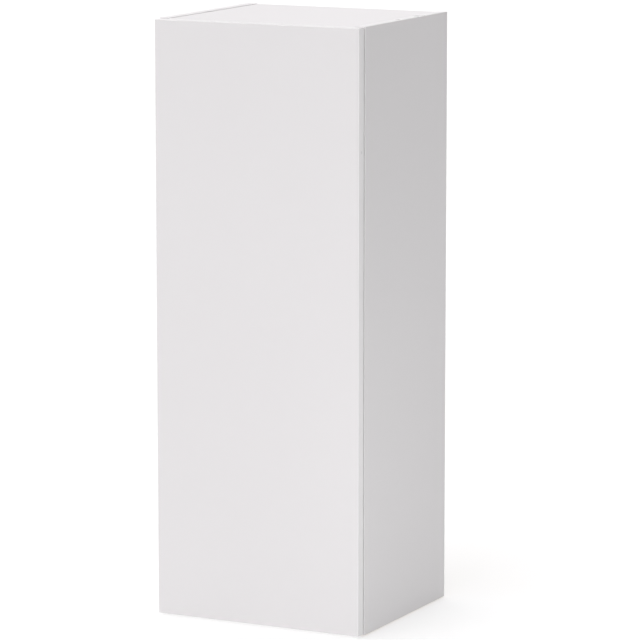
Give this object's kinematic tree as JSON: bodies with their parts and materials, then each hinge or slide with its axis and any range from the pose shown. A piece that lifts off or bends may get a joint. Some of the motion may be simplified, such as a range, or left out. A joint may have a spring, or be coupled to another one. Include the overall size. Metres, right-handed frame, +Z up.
{
  "type": "display plinth",
  "caption": "Tall white box plinth for an exhibit, with a flush handle-less front door that pushes open on concealed hinges, shelves and levelling feet.",
  "frame": {"origin": "on the floor, at the middle of the footprint", "axes": "+Z up, the door faces -Y, +X to the right seen from the front"},
  "size_m": [0.375, 0.33, 1],
  "materials": {
    "melamine_white": "satin melamine film on particle board",
    "band_white": "satin ABS edge band",
    "hardboard": "white-faced hardboard with a raw brown back",
    "beech": "fluted beech dowel",
    "zinc_steel": "zinc-plated steel",
    "nickel_steel": "nickel-plated pressed steel",
    "cast_zinc": "die-cast zinc",
    "cap_white": "moulded white plastic",
    "housing_grey": "moulded light grey plastic",
    "nylon_black": "moulded black nylon",
    "magnet_black": "bare ferrite magnet",
    "spring_steel": "drawn spring steel",
    "clear_rubber": "clear soft polymer"
  },
  "bodies": {
    "carcass": {"side_panel_left": "melamine_white", "side_panel_right": "melamine_white", "top_panel": "melamine_white", "bottom_panel": "melamine_white", "base_rail_front": "melamine_white", "base_rail_back": "melamine_white", "shelf_lower": "melamine_white", "shelf_upper": "melamine_white", "side_bands_front": "band_white", "side_bands_top": "band_white", "panel_bands": "band_white", "shelf_bands": "band_white", "back_panel": "hardboard", "dowels": "beech", "cam_bolts": "zinc_steel", "cam_discs": "cast_zinc", "cam_caps": "cap_white", "shelf_pins": "zinc_steel", "foot_sockets": "nylon_black", "foot_socket_screws": "zinc_steel", "foot_access_caps": "cap_white", "hinge_plates": "nickel_steel", "hinge_plate_screws": "nickel_steel", "hinge_arms": "nickel_steel", "hinge_arm_screws": "nickel_steel", "latch_housing": "housing_grey", "latch_screws": "zinc_steel", "latch_spring": "spring_steel", "wall_bracket": "zinc_steel", "wall_bracket_screw": "zinc_steel"},
    "door": {"door_panel": "melamine_white", "door_bands_sides": "band_white", "door_bands_ends": "band_white", "hinge_cups": "nickel_steel", "hinge_pins": "nickel_steel", "hinge_cup_screws": "nickel_steel", "strike_plate": "zinc_steel", "strike_screw": "zinc_steel", "door_bumpers": "clear_rubber"},
    "plunger": {"latch_plunger": "housing_grey", "latch_magnet": "magnet_black"},
    "foot_front_left": {"foot_spindle_front_left": "zinc_steel", "foot_pad_front_left": "nylon_black"},
    "foot_front_right": {"foot_spindle_front_right": "zinc_steel", "foot_pad_front_right": "nylon_black"},
    "foot_back_left": {"foot_spindle_back_left": "zinc_steel", "foot_pad_back_left": "nylon_black"},
    "foot_back_right": {"foot_spindle_back_right": "zinc_steel", "foot_pad_back_right": "nylon_black"}
  },
  "joints": [
    {"name": "door_swing", "type": "hinge", "parent": "carcass", "child": "door", "pos_m": [-0.17985, -0.157, 0.501], "axis": [0, 0, -1], "range_deg": [0, 92]},
    {"name": "plunger_push", "type": "slide", "parent": "carcass", "child": "plunger", "axis": [0, -1, 0], "range_m": [0, 0.0193], "deforming": ["latch_spring"]},
    {"name": "foot_front_left_screw", "type": "slide", "parent": "carcass", "child": "foot_front_left", "axis": [0, 0, -1], "range_m": [0, 0.015]},
    {"name": "foot_front_right_screw", "type": "slide", "parent": "carcass", "child": "foot_front_right", "axis": [0, 0, -1], "range_m": [0, 0.015]},
    {"name": "foot_back_left_screw", "type": "slide", "parent": "carcass", "child": "foot_back_left", "axis": [0, 0, -1], "range_m": [0, 0.015]},
    {"name": "foot_back_right_screw", "type": "slide", "parent": "carcass", "child": "foot_back_right", "axis": [0, 0, -1], "range_m": [0, 0.015]}
  ],
  "couplings": [
    {"joint": "plunger_push", "follows": "door_swing", "m_per_rad": 0.012}
  ]
}
